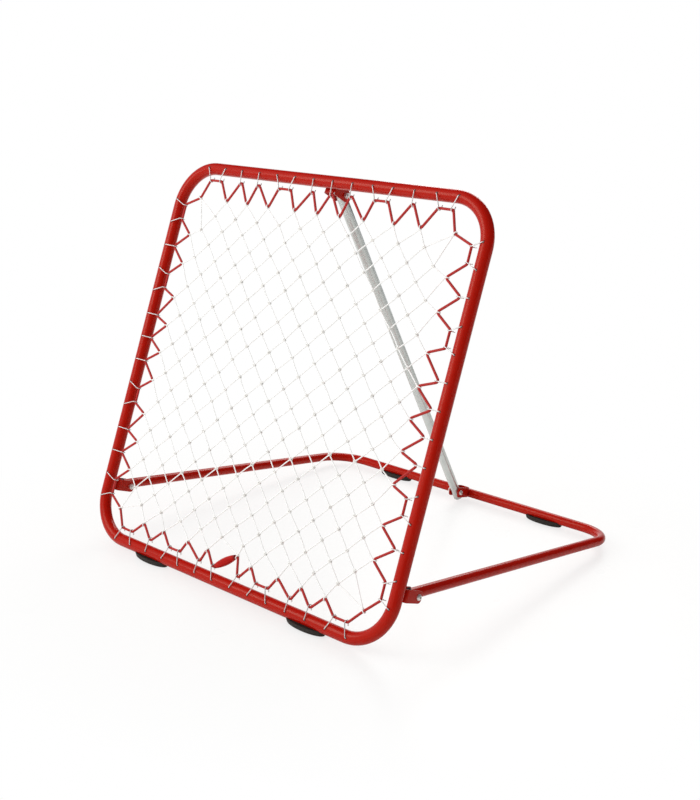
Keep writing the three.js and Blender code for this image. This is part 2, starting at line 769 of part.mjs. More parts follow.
// Base group: tube, caps, rear bracket and feet
const baseTube = named('base_frame', baseGeometry(), paint(red, 0.35, 0));
baseTube.position.z = armLift;
base.add(baseTube);
addBracket(base, 'rear', rearTube, baseRadius, rearTurn, -rearBracketSlide, false);
const crossbar = rearTube.clone().applyMatrix4(base.matrix);
for (const [name, way] of [['left', -1], ['right', 1]]) {
  const cap = named(`${name}_arm_cap`, capGeometry(), paint(black, 0.5, 0));
  cap.position.set((way * baseWidth) / 2, -armTail - seatGap, armLift);
  base.add(cap);
  const foot = named(`rear_${name}_foot`, footGeometry(baseRadius), paint(black, 0.8, 0));
  foot.position.set(way * footSpread, crossbar.y, 0);
  model.add(foot);
}

strut.add(named('strut', strutGeometry(), paint(zinc, 0.35, 1)));
model.add(frame, base, strut);

// The footprint runs from the front edge of the front feet to the back edge of the rear ones
model.position.y = -crossbar.y / 2;

export default model;
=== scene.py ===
import math
import random

import bpy
from mathutils import Matrix, Vector


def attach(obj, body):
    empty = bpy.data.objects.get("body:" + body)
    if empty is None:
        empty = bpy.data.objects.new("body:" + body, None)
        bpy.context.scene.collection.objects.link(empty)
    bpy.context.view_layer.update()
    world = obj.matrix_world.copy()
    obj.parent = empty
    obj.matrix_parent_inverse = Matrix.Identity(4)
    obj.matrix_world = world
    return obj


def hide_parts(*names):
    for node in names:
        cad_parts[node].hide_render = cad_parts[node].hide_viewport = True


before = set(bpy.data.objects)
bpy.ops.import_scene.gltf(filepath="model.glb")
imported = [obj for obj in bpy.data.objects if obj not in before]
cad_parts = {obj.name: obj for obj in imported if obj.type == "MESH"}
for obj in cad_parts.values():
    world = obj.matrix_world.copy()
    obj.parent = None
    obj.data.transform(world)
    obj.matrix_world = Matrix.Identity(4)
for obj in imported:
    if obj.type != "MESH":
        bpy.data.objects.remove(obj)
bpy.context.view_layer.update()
print("frame loaded", len(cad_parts), "nodes")

mm = 0.001
quarter = math.pi / 2
dice = random.Random(7)

bothSides = (("left", -1), ("right", 1))

# Where the three moving parts stand at rest: x across, y along the tube or up the slope, z square to it
stand = {
    "front": {"point": (0, -474.028, 23.3), "slope": 70.8},
    "base": {"point": (0, -378.027, 121.702), "slope": -7.0207},
    "strut": {"point": (0, -106.956, 905.626), "slope": -58.7826},
}
frontPlace, basePlace, strutPlace = (
    Matrix.Translation(Vector(part["point"]) * mm) @ Matrix.Rotation(math.radians(part["slope"]), 4, "X")
    for part in stand.values()
)


# Small tools for work in object and edit mode
def putDown():
    if bpy.context.mode != "OBJECT":
        bpy.ops.object.mode_set(mode="OBJECT")
    bpy.ops.object.select_all(action="DESELECT")


def take(piece, mode="OBJECT"):
    putDown()
    piece.select_set(True)
    bpy.context.view_layer.objects.active = piece
    bpy.ops.object.mode_set(mode=mode)


def fresh(name):  # names the primitive just added and puts its place into its mesh
    piece = bpy.context.active_object
    piece.name = piece.data.name = name
    take(piece)
    bpy.ops.object.transform_apply(location=True, rotation=True, scale=True)
    return piece


def pick(piece, kind, test):  # by a test on a point, on the ends of an edge, or on a face's middle and normal
    bpy.ops.object.mode_set(mode="OBJECT")
    mesh = piece.data
    for group in (mesh.vertices, mesh.edges, mesh.polygons):
        group.foreach_set("select", [False] * len(group))
    if kind == "VERT":
        for point in mesh.vertices:
            point.select = test(point.co)
    elif kind == "EDGE":
        for edge in mesh.edges:
            edge.select = test(*(mesh.vertices[i].co for i in edge.vertices))
    else:
        for face in mesh.polygons:
            face.select = test(face.center, face.normal)
    bpy.context.tool_settings.mesh_select_mode = (kind == "VERT", kind == "EDGE", kind == "FACE")
    bpy.ops.object.mode_set(mode="EDIT")


def extrudeBy(step):
    bpy.ops.mesh.extrude_region_move(TRANSFORM_OT_translate={"value": step})


def evenOut():  # outward normals, with the mesh in edit mode
    bpy.ops.mesh.select_all(action="SELECT")
    bpy.ops.mesh.remove_doubles(threshold=0.01 * mm)
    bpy.ops.mesh.normals_make_consistent(inside=False)
    bpy.ops.object.mode_set(mode="OBJECT")


def finishWith(piece, kind, **settings):
    take(piece)
    modifier = piece.modifiers.new(kind.title(), kind)
    for name, value in settings.items():
        setattr(modifier, name, value)
    bpy.ops.object.modifier_apply(modifier=modifier.name)


def combine(piece, other, operation):
    finishWith(piece, "BOOLEAN", operation=operation, solver="EXACT", object=other)
    bpy.data.objects.remove(other)


def cutAway(piece, *cutters):
    putDown()
    for cutter in cutters:
        cutter.select_set(True)
    bpy.context.view_layer.objects.active = cutters[0]
    if len(cutters) > 1:
        bpy.ops.object.join()
    combine(piece, cutters[0], "DIFFERENCE")
    take(piece, "EDIT")
    evenOut()


def copyOf(master, name, place):  # a copy with its own mesh, put in its place
    twin = master.copy()
    twin.data = master.data.copy()
    twin.name = twin.data.name = name
    bpy.context.collection.objects.link(twin)
    twin.data.transform(place)
    if place.determinant() < 0:
        twin.data.flip_normals()
    return twin


def markPoints(piece, name, values):  # a number on each point, for its finish to read
    mark = piece.data.attributes.new(name, "FLOAT", "POINT")
    mark.data.foreach_set("value", values)


def smooth(piece, angle=35):
    take(piece)
    bpy.ops.object.shade_smooth_by_angle(angle=math.radians(angle))


def rod(name, sides, radius, length, place=(0, 0, 0), turn=(0, 0, 0)):
    bpy.ops.mesh.primitive_cylinder_add(vertices=sides, radius=radius, depth=length, location=place, rotation=turn)
    return fresh(name)


def turned(name, sides, profile):  # a round piece along Z from its heights and radii, closed at both ends
    height, radius = profile[0]
    bpy.ops.mesh.primitive_circle_add(vertices=sides, radius=radius, fill_type="NGON", location=(0, 0, height))
    piece = fresh(name)
    take(piece, "EDIT")
    bpy.ops.mesh.select_all(action="SELECT")
    for nextHeight, nextRadius in profile[1:]:
        extrudeBy((0, 0, nextHeight - height))
        scale = nextRadius / radius
        bpy.ops.transform.resize(value=(scale, scale, 1), center_override=(0, 0, nextHeight))
        height, radius = nextHeight, nextRadius
    evenOut()
    return piece


def drawTube(name, sides, radius, start, heading, moves):  # a tube drawn from a ring by straight runs and bends
    turn = Vector(heading).to_track_quat("Z", "Y").to_euler()
    bpy.ops.mesh.primitive_circle_add(
        vertices=sides, radius=radius, fill_type="NOTHING", location=start, rotation=turn)
    tube = fresh(name)
    take(tube, "EDIT")
    bpy.ops.mesh.select_all(action="SELECT")
    for move in moves:
        if "centre" in move:
            bpy.ops.mesh.spin(steps=move["steps"], angle=-move["angle"], center=move["centre"], axis=(0, 0, 1))
        else:
            for step in move["run"]:
                extrudeBy(step)
    evenOut()
    return tube


# Finishes: what varies over a surface is worked out by nodes on its own places, at real size
class Value:  # an output of a node: sums with it add Math nodes
    def __init__(self, finish, socket):
        self.finish = finish
        self.socket = socket

    def __add__(self, other):
        return self.finish.maths("ADD", self, other)

    def __mul__(self, other):
        return self.finish.maths("MULTIPLY", self, other)

    def __sub__(self, other):
        return self.finish.maths("SUBTRACT", self, other)

    def __rsub__(self, other):
        return self.finish.maths("SUBTRACT", other, self)

    def __truediv__(self, other):
        return self.finish.maths("DIVIDE", self, other)

    def __rtruediv__(self, other):
        return self.finish.maths("DIVIDE", other, self)

    __radd__ = __add__
    __rmul__ = __mul__


class Finish:
    def __init__(self, name, holder=None):
        self.owner = holder or bpy.data.materials.new(name)
        self.owner.use_nodes = True
        self.tree = self.owner.node_tree
        self.shader = self.tree.nodes.get("Principled BSDF")
        self.places = None

    def feed(self, socket, value):
        if isinstance(value, Value):
            self.tree.links.new(value.socket, socket)
        elif isinstance(value, tuple) and len(value) == 3 and socket.type == "RGBA":
            socket.default_value = (*value, 1)
        else:
            socket.default_value = value

    def node(self, kind, settings=None, sockets=None, outlet=0):
        made = self.tree.nodes.new(kind)
        for name, value in (settings or {}).items():
            if name == "stops":
                ramp = made.color_ramp
                for spot, shade in value[2:]:
                    ramp.elements.new(spot)
                for element, (spot, shade) in zip(ramp.elements, sorted(value)):
                    element.position = spot
                    element.color = (shade, shade, shade, 1)
            else:
                setattr(made, name, value)
        for name, value in (sockets or {}).items():
            self.feed(made.inputs[name], value)
        return Value(self, made.outputs[outlet])

    def maths(self, operation, first, second=0.0):
        return self.node("ShaderNodeMath", {"operation": operation}, {0: first, 1: second})

    def object(self):  # places on the object, shared by all patterns of the finish
        if not self.places:
            self.places = self.node("ShaderNodeTexCoord", outlet="Object")
        return self.places

    def noise(self, scale, detail=2.0, vector=None):
        sockets = {"Vector": vector or self.object(), "Scale": scale, "Detail": detail}
        return self.node("ShaderNodeTexNoise", None, sockets)

    def cells(self, scale, outlet="Distance"):
        return self.node("ShaderNodeTexVoronoi", None, {"Vector": self.object(), "Scale": scale}, outlet)

    def stretched(self, turn, scale):
        return self.node("ShaderNodeMapping", None, {"Vector": self.object(), "Rotation": turn, "Scale": scale})

    def ramp(self, value, *stops):
        return self.node("ShaderNodeValToRGB", {"stops": stops}, {0: value})

    def mix(self, share, first, second):
        return self.node("ShaderNodeMix", {"data_type": "RGBA"}, {0: share, 6: first, 7: second}, 2)

    def bump(self, height, depth, strength):
        sockets = {"Height": height, "Distance": depth, "Strength": strength}
        self.wear("Normal", self.node("ShaderNodeBump", None, sockets))

    def along(self):  # how far round and how far along twine, cord or sleeve
        uv = self.node("ShaderNodeUVMap", {"uv_map": "UVMap"})
        return self.part(uv, 0), self.part(uv, 1)

    def part(self, vector, index):  # one number of a vector or colour
        return self.node("ShaderNodeSeparateXYZ", None, {0: vector}, index)

    def mark(self, name):  # a number kept on the points of a piece, nought on a piece without it
        return self.node("ShaderNodeAttribute", {"attribute_name": name}, None, 2)

    def wear(self, name, value):
        self.feed(self.shader.inputs[name], value)


def redPaint():  # powder coat, with painted shade in the hook holes and round their rims
    paint = Finish("redPaint")
    drift = paint.noise(7, 3)
    fleck = paint.noise(240, 2)
    rubbed = paint.ramp(paint.noise(38, 6), (0.68, 0), (0.80, 1))
    body = paint.mix(drift, (0.38, 0.0032, 0.0005), (0.44, 0.0068, 0.0011))
    body = paint.mix(rubbed * 0.25, body, (0.305, 0.0072, 0.0045))
    body = paint.mix(fleck * 0.10, body, (0.288, 0.001, 0.001))
    # painted shade: near black in the hook holes, fading out round their rims
    paint.wear("Base Color", paint.mix(paint.mark("shade"), body, (0.012, 0.003, 0.003)))
    paint.wear("Roughness", drift * 0.05 + fleck * 0.02 + rubbed * 0.05 + 0.18)
    paint.wear("Specular IOR Level", 0.24)
    paint.wear("Specular Tint", (1.0, 0.78, 0.60))
    paint.bump(paint.noise(260, 0), 0.003 * mm, 0.1)
    return paint.owner


def zincTube():  # streaks drawn along the strut
    zinc = Finish("zincTube")
    tone = zinc.part(zinc.cells(95, "Color"), 0)  # spangles
    streak = zinc.noise(1, 3, zinc.stretched((math.radians(58.8), 0, 0), (420, 9, 420)))
    cloudy = zinc.noise(14, 4)
    zinc.wear("Base Color", zinc.mix(tone * 0.2 + streak * 0.3, (0.63, 0.66, 0.65), (0.46, 0.50, 0.49)))
    zinc.wear("Metallic", 0.85)
    zinc.wear("Roughness", tone * 0.03 + cloudy * 0.06 + 0.2)
    zinc.bump(streak, 0.003 * mm, 0.3)
    return zinc.owner


def zincSteel(name, scale, light, dark, rough, metal):  # bolts, nuts and wire
    steel = Finish(name)
    cloudy = steel.noise(scale, 4)
    fine = steel.noise(scale * 9, 2)
    steel.wear("Base Color", steel.mix(cloudy, dark, light))
    steel.wear("Metallic", metal)
    steel.wear("Roughness", cloudy * 0.14 + fine * 0.08 + rough)
    steel.bump(fine, 0.01 * mm, 0.4)
    return steel.owner


def blackRubber():  # fine grain with dust in patches
    rubber = Finish("blackRubber")
    grain = rubber.noise(1400, 2)
    dust = rubber.ramp(rubber.noise(26, 5), (0.45, 0), (0.75, 1))
    rubber.wear("Base Color", rubber.mix(dust * 0.4, (0.0117, 0.0081, 0.0054), (0.045, 0.0324, 0.0225)))
    rubber.wear("Roughness", dust * 0.18 + grain * 0.1 + 0.6)
    rubber.bump(grain, 0.12 * mm, 0.5)
    return rubber.owner


def blackPlastic():
    plastic = Finish("blackPlastic")
    grain = plastic.cells(900)
    haze = plastic.noise(60, 3)
    plastic.wear("Base Color", plastic.mix(haze, (0.010, 0.010, 0.011), (0.028, 0.028, 0.03)))
    plastic.wear("Roughness", haze * 0.15 + grain * 0.15 + 0.34)
    plastic.bump(grain, 0.06 * mm, 0.6)
    return plastic.owner


def whiteTwine():  # three strands laid round each other, with painted shade in the grooves between strands and over the knots, and soil in patches
    twine = Finish("whiteTwine")
    around, along = twine.along()
    strands, lay = 3, 7 * mm
    strand = twine.maths("SINE", (around * strands + along / lay) * (2 * math.pi)) * 0.5 + 0.5
    fuzz = twine.noise(1500, 3)
    soil = twine.noise(9, 4)
    # painted shade: a little darker in the grooves between the strands
    clean = twine.mix(strand, (0.94, 0.93, 0.91), (0.99, 0.99, 0.98))
    clean = twine.mix(soil * 0.15, clean, (0.86, 0.84, 0.79))
    # painted shade: darker over the knots, where the twine bunches
    twine.wear("Base Color", twine.mix(twine.mark("knotted") * 0.6, clean, (0.80, 0.78, 0.73)))
    twine.wear("Roughness", fuzz * 0.15 + 0.72)
    twine.wear("Sheen Weight", 1.0)
    twine.wear("Sheen Roughness", 0.6)
    twine.bump(strand * 0.8 + fuzz * 0.3, 0.15 * mm, 0.3)
    return twine.owner


def redCord():  # a braid of strands that cross both ways, with painted shade in the grooves of the braid
    cord = Finish("redCord")
    around, along = cord.along()
    strands, lay = 4, 8 * mm
    one = cord.maths("SINE", (around * strands + along / lay) * (2 * math.pi))
    other = cord.maths("SINE", (around * strands - along / lay) * (2 * math.pi))
    braid = cord.maths("MAXIMUM", one, other) * 0.5 + 0.5
    fuzz = cord.noise(1300, 3)
    fade = cord.noise(12, 3)
    # painted shade: darker in the grooves between the crossing strands
    body = cord.mix(braid, (0.288, 0.0036, 0.0027), (0.504, 0.0126, 0.009))
    cord.wear("Base Color", cord.mix(fade * 0.3, body, (0.486, 0.0234, 0.0162)))
    cord.wear("Roughness", fuzz * 0.2 + 0.6)
    cord.bump(braid * 0.9 + fuzz * 0.2, 0.3 * mm, 0.8)
    return cord.owner


def redPlastic():  # moulded, with painted shade at both mouths of the sleeve
    plastic = Finish("redPlastic")
    haze = plastic.noise(45, 4)
    grain = plastic.noise(1100, 2)
    # painted shade: near black over the last tenth at each mouth
    mouthShade = plastic.ramp(plastic.along()[1], (0.0, 1), (0.10, 0), (0.90, 0), (1.0, 1))
    body = plastic.mix(haze, (0.324, 0.0027, 0.0018), (0.54, 0.009, 0.0054))
    plastic.wear("Base Color", plastic.mix(mouthShade * 0.85, body, (0.03, 0.006, 0.006)))
    plastic.wear("Roughness", haze * 0.12 + grain * 0.06 + 0.3)
    plastic.wear("Specular IOR Level", 0.12)
    plastic.bump(grain + haze * 0.5, 0.03 * mm, 0.4)
    return plastic.owner


finishes = {
    "red_paint": redPaint(),
    "zinc_tube": zincTube(),
    "zinc_steel": zincSteel("zincSteel", 160, (0.92, 0.90, 0.88), (0.64, 0.62, 0.60), 0.24, 0.7),
    "black_rubber": blackRubber(),
    "black_plastic": blackPlastic(),
    "white_twine": whiteTwine(),
    "red_cord": redCord(),
    "red_plastic": redPlastic(),
}
wireFinish = zincSteel("zincWire", 210, (0.90, 0.89, 0.88), (0.62, 0.61, 0.60), 0.26, 0.8)


def handOver(piece, body, slot, nodes=(), material=None):  # finish, body and CAD nodes of a finished piece
    piece.data.materials.clear()
    piece.data.materials.append(material or finishes[slot])
    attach(piece, body)
    if nodes:
        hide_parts(*nodes)


print("finishes mixed")

# Camera
camera = {
    "location": (1.95978, -2.27298, 1.19639),
    "yaw": math.radians(41.415),
    "pitch": math.radians(15.178),
    "roll": math.radians(1.832),
    "lens": 55.03,
    "sensor": 36,
}
ahead = Vector((
    -math.sin(camera["yaw"]) * math.cos(camera["pitch"]),
    math.cos(camera["yaw"]) * math.cos(camera["pitch"]),
    -math.sin(camera["pitch"]),
))
level = ahead.cross(Vector((0, 0, 1))).normalized()
upright = level.cross(ahead)
rightWay = math.cos(camera["roll"]) * level + math.sin(camera["roll"]) * upright
upWay = math.cos(camera["roll"]) * upright - math.sin(camera["roll"]) * level
bpy.ops.object.camera_add()
eye = bpy.context.active_object
eye.name = "camera"
eye.matrix_world = Matrix.Translation(camera["location"]) @ Matrix((rightWay, upWay, -ahead)).transposed().to_4x4()
eye.data.lens = camera["lens"]
eye.data.sensor_width = camera["sensor"]
bpy.context.scene.camera = eye

# Front frame: one square loop of tube with a row of drilled hook holes in each side
frameTube = {
    "span": 970 * mm,
    "bend": 105 * mm,
    "radius": 15 * mm,
    "sides": 48,
    "bendSteps": 18,
    "holeRadius": 1.7 * mm,
    "holeDepth": 6 * mm,
    "shadeReach": 2.04 * mm,
    "hooksPerSide": 14,
    "hookPitch": 60.6 * mm,
    "hookLean": 12.5 * mm,
    "ringsByHole": 4 * mm,
}
half = frameTube["span"] / 2
hookCount = frameTube["hooksPerSide"]

# Gaps between hooks, counted along each side, that the cord crosses without reaching for the net
straightRuns = {"bottom": (1, 4, 9, 13), "right": (1, 4, 10, 13), "top": (1, 5, 10, 13), "left": (1, 5, 10, 13)}
sleeve = {
    "gap": 7,
    "pull": 12 * mm,
    "shift": 26 * mm,
    "inset": 72 * mm,
    "length": 70 * mm,
    "radius": 10 * mm,
    "mouthWall": 1.9 * mm,
    "fullness": 0.8,
    "ridges": 5,
    "ridgeDepth": 0.035,
    "steps": 40,
    "sides": 36,
    "cordGap": 1 * mm,
}


def onSide(side, along, inward, height):
    places = {
        "bottom": (along, inward),
        "right": (half - inward, half + along),
        "top": (along, 2 * half - inward),
        "left": (inward - half, half + along),
    }
    return Vector((*places[side], height))


def hookPlace(index):
    return (index - (hookCount - 1) / 2) * frameTube["hookPitch"]


def hookPull(side, index):  # how far the cord draws a hook's crook along the side
    runs = straightRuns[side]
    pull = frameTube["hookLean"] * ((index + 1 in runs) - (index in runs))
    if side == "bottom":
        pull += sleeve["pull"] * ((index == sleeve["gap"]) - (index + 1 == sleeve["gap"]))
    return pull


def straightStops():  # rings along a straight side, close on both sides of each hook hole
    straight = half - frameTube["bend"]
    stops = []
    for index in range(hookCount):
        for shift in (-frameTube["ringsByHole"], frameTube["ringsByHole"]):
            stop = hookPlace(index) + shift
            if abs(stop) < straight - 1 * mm:
                stops.append(stop)
    return [-straight, *stops, straight]


def frontTubeMoves():
    straight = half - frameTube["bend"]
    stops = straightStops()
    moves = []
    for turn in range(4):
        spin = Matrix.Rotation(turn * quarter, 3, "Z")
        run = [spin @ Vector((b - a, 0, 0)) for a, b in zip(stops, stops[1:])]
        moves.append({"run": run})
        centre = spin @ Vector((straight, frameTube["bend"] - half, 0)) + Vector((0, half, 0))
        moves.append({"centre": centre, "angle": quarter, "steps": frameTube["bendSteps"]})
    return moves


def byHole(point):  # 1 in a hook's hole and on its rim, where the paint is given painted shade
    spots = (onSide(side, hookPlace(index), 0, 0) for side in straightRuns for index in range(hookCount))
    near = min(math.hypot(point.x - spot.x, point.y - spot.y) for spot in spots)
    return 1.0 if near < frameTube["shadeReach"] and point.z > 0 else 0.0


start = (frameTube["bend"] - half, 0, 0)
frontTube = drawTube("frontTube", frameTube["sides"], frameTube["radius"], start, (1, 0, 0), frontTubeMoves())
holes = []
for side in straightRuns:
    for index in range(hookCount):
        spot = onSide(side, hookPlace(index), 0, frameTube["radius"])
        holes.append(rod("hole", 16, frameTube["holeRadius"], 2 * frameTube["holeDepth"], spot))
cutAway(frontTube, *holes)
# marks the hook holes for the paint's painted shade
markPoints(frontTube, "shade", [byHole(point.co) for point in frontTube.data.vertices])
smooth(frontTube)
frontTube.data.transform(frontPlace)
handOver(frontTube, "front", "red_paint", ["front_frame"])
print("front tube drawn and drilled")

# Wire hooks: out of the hole, over the tube and round the cord
hook = {
    "radius": 1.25 * mm,
    "root": 9 * mm,
    "over": 17.15 * mm,
    "inset": 30 * mm,
    "height": 8 * mm,
    "crook": 6.06 * mm,
    "tail": 7 * mm,
    "tailDrop": 0.25,
    "shoulder": 9 * mm,
    "shoulderShare": 0.92,
    "corner": 3 * mm,
}


def rounded(points, radius, steps):  # a chain of points with its corners rounded off
    soft = [points[0]]
    for before, here, after in zip(points, points[1:], points[2:]):
        inWay, outWay = (before - here), (after - here)
        reach = min(radius, inWay.length * 0.45, outWay.length * 0.45)
        first, last = here + inWay.normalized() * reach, here + outWay.normalized() * reach
        for step in range(steps + 1):
            share = step / steps
            soft.append(first.lerp(here, share).lerp(here.lerp(last, share), share))
    return [*soft, points[-1]]


def wirePiece(name, points, radius):  # a round wire bent along a chain of points
    curve = bpy.data.curves.new(name, "CURVE")
    curve.dimensions = "3D"
    curve.bevel_depth = radius
    curve.bevel_resolution = 3
    curve.use_fill_caps = True
    spline = curve.splines.new("POLY")
    spline.points.add(len(points) - 1)
    for target, point in zip(spline.points, points):
        target.co = (*point, 1)
    wire = bpy.data.objects.new(name, curve)
    bpy.context.collection.objects.link(wire)
    take(wire)
    bpy.ops.object.convert(target="MESH")
    wire = bpy.context.active_object
    take(wire, "EDIT")
    evenOut()
    smooth(wire, 50)
    return wire


def hookPiece(pull):
    turns = [math.radians(angle) for angle in range(-20, 181, 20)]
    crook = [
        Vector((pull, hook["inset"] + hook["crook"] * math.sin(turn), hook["height"] + hook["crook"] * math.cos(turn)))
        for turn in turns
    ]
    bends = [
        Vector((0, 0, hook["root"])),
        Vector((0, 0, hook["over"])),
        Vector((pull / 3, hook["shoulder"], hook["over"] * hook["shoulderShare"])),
        crook[0],
    ]
    tail = crook[-1] + Vector((0, -hook["tail"], -hook["tailDrop"] * hook["tail"]))
    return wirePiece("hook", [*rounded(bends, hook["corner"], 4)[:-1], *crook, tail], hook["radius"])


sideFrames = {  # carries a hook of the bottom side to each side of the frame
    "bottom": Matrix.Identity(4),
    "right": Matrix(((0, -1, 0, half), (1, 0, 0, half), (0, 0, 1, 0), (0, 0, 0, 1))),
    "top": Matrix(((1, 0, 0, 0), (0, -1, 0, 2 * half), (0, 0, 1, 0), (0, 0, 0, 1))),
    "left": Matrix(((0, 1, 0, -half), (1, 0, 0, half), (0, 0, 1, 0), (0, 0, 0, 1))),
}
masters = {}  # one hook for each pull of the cord
for side in straightRuns:
    for index in range(hookCount):
        pull = hookPull(side, index)
        key = round(pull / mm, 1)
        if key not in masters:
            masters[key] = hookPiece(pull)
        place = frontPlace @ sideFrames[side] @ Matrix.Translation((hookPlace(index), 0, 0))
        piece = copyOf(masters[key], f"{side}Hook{index + 1}", place)
        nodes = [f"{side}_hook_{index + 1}"] if side in ("left", "right") else []
        handOver(piece, "front", "zinc_steel", nodes, wireFinish)
for master in masters.values():
    bpy.data.objects.remove(master)
print("hooks bent")


# Cord: laced through the hooks and the loops of the net, with its two ends held in the sleeve
cord = {
    "radius": 3 * mm,
    "inset": 30 * mm,
    "height": 8 * mm,
    "bendRun": 6 * mm,
    "loopInset": {"bottom": 60 * mm, "right": 73 * mm, "top": 78 * mm, "left": 70 * mm},
    "cornerInset": {(1, -1): 67 * mm, (1, 1): 81 * mm, (-1, 1): 79 * mm, (-1, -1): 75 * mm},
    "loopSpread": 0.635,
    "loopDraw": 0.6,
    "corner": 2.6 * mm,
    "sides": 14,
}
sideOrder = (("bottom", 1, (1, -1)), ("right", 1, (1, 1)), ("top", -1, (-1, 1)), ("left", -1, (-1, -1)))


def cordAt(side, index):
    return hookPlace(index) + hookPull(side, index)


def loopGaps(side):
    return [gap for gap in range(1, hookCount) if gap not in straightRuns[side]]


def loopAt(side, gap):  # between its two hooks, drawn towards its even place along the net's edge
    middle = (cordAt(side, gap - 1) + cordAt(side, gap)) / 2
    gaps = loopGaps(side)
    share = gaps.index(gap) / (len(gaps) - 1)
    even = cord["loopSpread"] * half * (2 * share - 1)
    drawn = middle + cord["loopDraw"] * (even - middle)
    return drawn + sleeve["shift"] if side == "bottom" and gap == sleeve["gap"] else drawn


def loopInset(side, gap):
    return sleeve["inset"] if side == "bottom" and gap == sleeve["gap"] else cord["loopInset"][side]


def cornerAt(corner, more=0.0):
    reach = half - cord["cornerInset"][corner] - more
    return Vector((corner[0] * reach, half + corner[1] * reach, cord["height"]))


def cordStations():  # each hook and loop in turn, with the way the cord runs there
    stations = []
    for side, way, corner in sideOrder:
        for count in range(hookCount):
            index = count if way > 0 else hookCount - 1 - count
            gap = index + 1 if way > 0 else index
            stations.append({
                "place": onSide(side, cordAt(side, index), cord["inset"], cord["height"]),
                "kind": "hook",
                "straightBefore": gap - way in straightRuns[side],
                "straightAfter": gap in straightRuns[side],
            })
            if count == hookCount - 1 or gap in straightRuns[side]:
                continue
            kind = "sleeve" if side == "bottom" and gap == sleeve["gap"] else "loop"
            place = onSide(side, loopAt(side, gap), loopInset(side, gap), cord["height"])
            stations.append({"place": place, "kind": kind})
        stations.append({"place": cornerAt(corner), "kind": "loop"})
    for i, station in enumerate(stations):
        arrive = (station["place"] - stations[i - 1]["place"]).normalized()
        leave = (stations[(i + 1) % len(stations)]["place"] - station["place"]).normalized()
        station["run"] = (arrive + leave).normalized()
    return stations


stations = cordStations()
first = next(i for i, station in enumerate(stations) if station["kind"] == "sleeve")
cordPoints = []
for station in stations[first:] + stations[:first]:
    step = station["run"] * cord["bendRun"] / 2
    if not station.get("straightBefore"):
        cordPoints.append(station["place"] - step)
    if not station.get("straightAfter"):
        cordPoints.append(station["place"] + step)
sleevePlace = (cordPoints[-1] + cordPoints[0]) / 2
sleeveAlong = (cordPoints[0] - cordPoints[-1]).normalized()
cordEnd = sleeveAlong * sleeve["cordGap"] / 2
cordPoints = [sleevePlace + cordEnd, *cordPoints, sleevePlace - cordEnd]


def skin(shape, base, sides, travel, closed=False):  # faces and UV map over rings, with how far along each ring lies
    count = len(travel) - closed
    for i in range(len(travel) - 1):
        a, b = base + i * sides, base + (i + 1) % count * sides
        for j in range(sides):
            k = (j + 1) % sides
            shape["faces"].append((a + j, a + k, b + k, b + j))
            u, v = j / sides, (j + 1) / sides
            shape["uvs"] += [(u, travel[i]), (v, travel[i]), (v, travel[i + 1]), (u, travel[i + 1])]
    if not closed:
        for ring, turn in ((0, -1), (count - 1, 1)):
            shape["faces"].append(tuple([base + ring * sides + j for j in range(sides)][::turn]))
            shape["uvs"] += [(0.5, travel[ring])] * sides


def sweep(shape, points, radius, sides, closed=False, mark=0.0):  # adds a round strand along points
    count = len(points)
    shape["marks"] += [mark] * (count * sides)
    ways = []
    for i in range(count):
        before = points[i - 1] if closed or i else points[0]
        after = points[(i + 1) % count] if closed or i < count - 1 else points[-1]
        ways.append((after - before).normalized())
    side = ways[0].orthogonal().normalized()
    base = len(shape["points"])
    travel = [0.0]
    for i, (point, way) in enumerate(zip(points, ways)):
        side = (side - way * side.dot(way)).normalized()
        other = way.cross(side)
        if i:
            travel.append(travel[-1] + (point - points[i - 1]).length)
        for j in range(sides):
            angle = 2 * math.pi * j / sides
            shape["points"].append(point + radius * (side * math.cos(angle) + other * math.sin(angle)))
    if closed:
        travel.append(travel[-1] + (points[0] - points[-1]).length)
    skin(shape, base, sides, travel, closed)


def shapePiece(name, shape):
    mesh = bpy.data.meshes.new(name)
    mesh.from_pydata(shape["points"], [], shape["faces"])
    uvs = mesh.uv_layers.new(name="UVMap")
    uvs.data.foreach_set("uv", [number for uv in shape["uvs"] for number in uv])
    mesh.validate()
    piece = bpy.data.objects.new(name, mesh)
    bpy.context.collection.objects.link(piece)
    return piece


def emptyShape():
    return {"points": [], "faces": [], "uvs": [], "marks": []}


cordShape = emptyShape()
sweep(cordShape, rounded(cordPoints, cord["corner"], 4), cord["radius"], cord["sides"])
elasticCord = shapePiece("elasticCord", cordShape)
smooth(elasticCord, 60)
elasticCord.data.transform(frontPlace)
handOver(elasticCord, "front", "red_cord", ["elastic_cord"])
print("cord laced", round(sum((b - a).length for a, b in zip(cordPoints, cordPoints[1:])), 3), "m")


# Sleeve: a spindle over the two ends of the cord
def spindle():
    length, mouth, full = sleeve["length"], cord["radius"] + sleeve["mouthWall"], sleeve["radius"]
    steps, sides, depth = sleeve["steps"], sleeve["sides"], sleeve["ridgeDepth"]
    shape = emptyShape()
    for i in range(steps + 1):
        share = i / steps
        swell = math.sin(math.pi * share) ** sleeve["fullness"] if 0 < i < steps else 0
        for j in range(sides):
            angle = 2 * math.pi * j / sides
            ridge = 1 + depth * math.cos(sleeve["ridges"] * angle) * swell
            radius = (mouth + (full - mouth) * swell) * ridge / (1 + depth)
            x, y = radius * math.cos(angle), radius * math.sin(angle)
            shape["points"].append(Vector((x, y, (share - 0.5) * length)))
    skin(shape, 0, sides, [i / steps for i in range(steps + 1)])
    return shapePiece("cordSleeve", shape)


cordSleeve = spindle()
smooth(cordSleeve, 50)
turn = sleeveAlong.to_track_quat("Z", "Y").to_matrix().to_4x4()
cordSleeve.data.transform(frontPlace @ Matrix.Translation(sleevePlace) @ turn)
handOver(cordSleeve, "front", "red_plastic", ["cord_sleeve"])
print("sleeve shaped")

